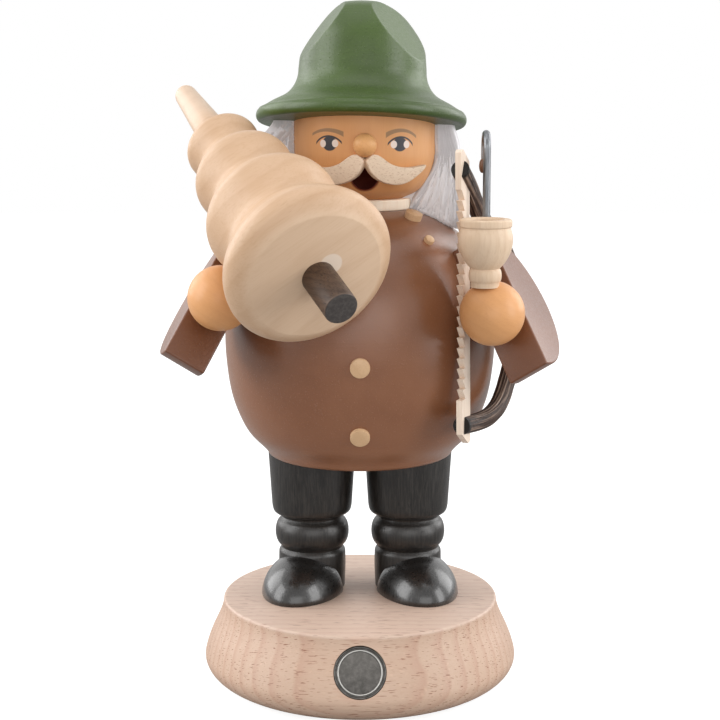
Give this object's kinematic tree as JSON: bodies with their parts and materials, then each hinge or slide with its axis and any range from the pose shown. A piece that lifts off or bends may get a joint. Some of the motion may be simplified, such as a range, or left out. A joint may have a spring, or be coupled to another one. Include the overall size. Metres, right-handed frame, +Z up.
{
  "type": "incense smoker figure",
  "caption": "Turned wooden incense smoker: a bearded woodcutter in a hat and long coat, with a tree, a bow saw and a pipe; the hollow figure lifts off its legs and foot plate.",
  "frame": {"origin": "centre of the foot plate's flat underside", "axes": "+Z up, the figure faces -Y, its own right hand is on the -X side"},
  "size_m": [0.1002, 0.1116, 0.1793],
  "materials": {
    "beech": "satin",
    "pale_wood": "satin",
    "skin_stain": "satin",
    "brown_lacquer": "satin",
    "green_lacquer": "satin",
    "black_stained_wood": "satin",
    "dark_wood": "matte",
    "white_fur": "matte",
    "steel_wire": "polished",
    "tin": "satin",
    "pewter": "satin"
  },
  "bodies": {
    "stand": {"foot_plate": "beech", "badge": "pewter", "right_leg": "black_stained_wood", "left_leg": "black_stained_wood", "right_toe_cap": "black_stained_wood", "left_toe_cap": "black_stained_wood", "leg_dowels": "beech", "seat_plug": "beech", "ember_tray": "tin", "tray_tacks": "steel_wire"},
    "figure": {"coat": "brown_lacquer", "coat_buttons": "pale_wood", "collar_studs": "pale_wood", "lapel_studs": "pale_wood", "collar": "pale_wood", "head": "skin_stain", "nose": "skin_stain", "right_moustache": "pale_wood", "left_moustache": "pale_wood", "hair": "white_fur", "hat": "green_lacquer", "hat_dowel": "beech", "right_arm": "brown_lacquer", "left_arm": "brown_lacquer", "arm_dowels": "beech", "right_hand": "skin_stain", "left_hand": "skin_stain", "hand_dowels": "beech", "pipe_bowl": "pale_wood", "pipe_stem": "steel_wire", "pipe_mouthpiece": "dark_wood", "saw_blade": "pale_wood", "saw_bow": "dark_wood", "tree": "pale_wood", "tree_trunk": "dark_wood", "tree_peg": "beech"}
  },
  "joints": [
    {"name": "figure_lift", "type": "slide", "parent": "stand", "child": "figure", "axis": [0, 0, 1], "range_m": [0, 0.06]}
  ]
}
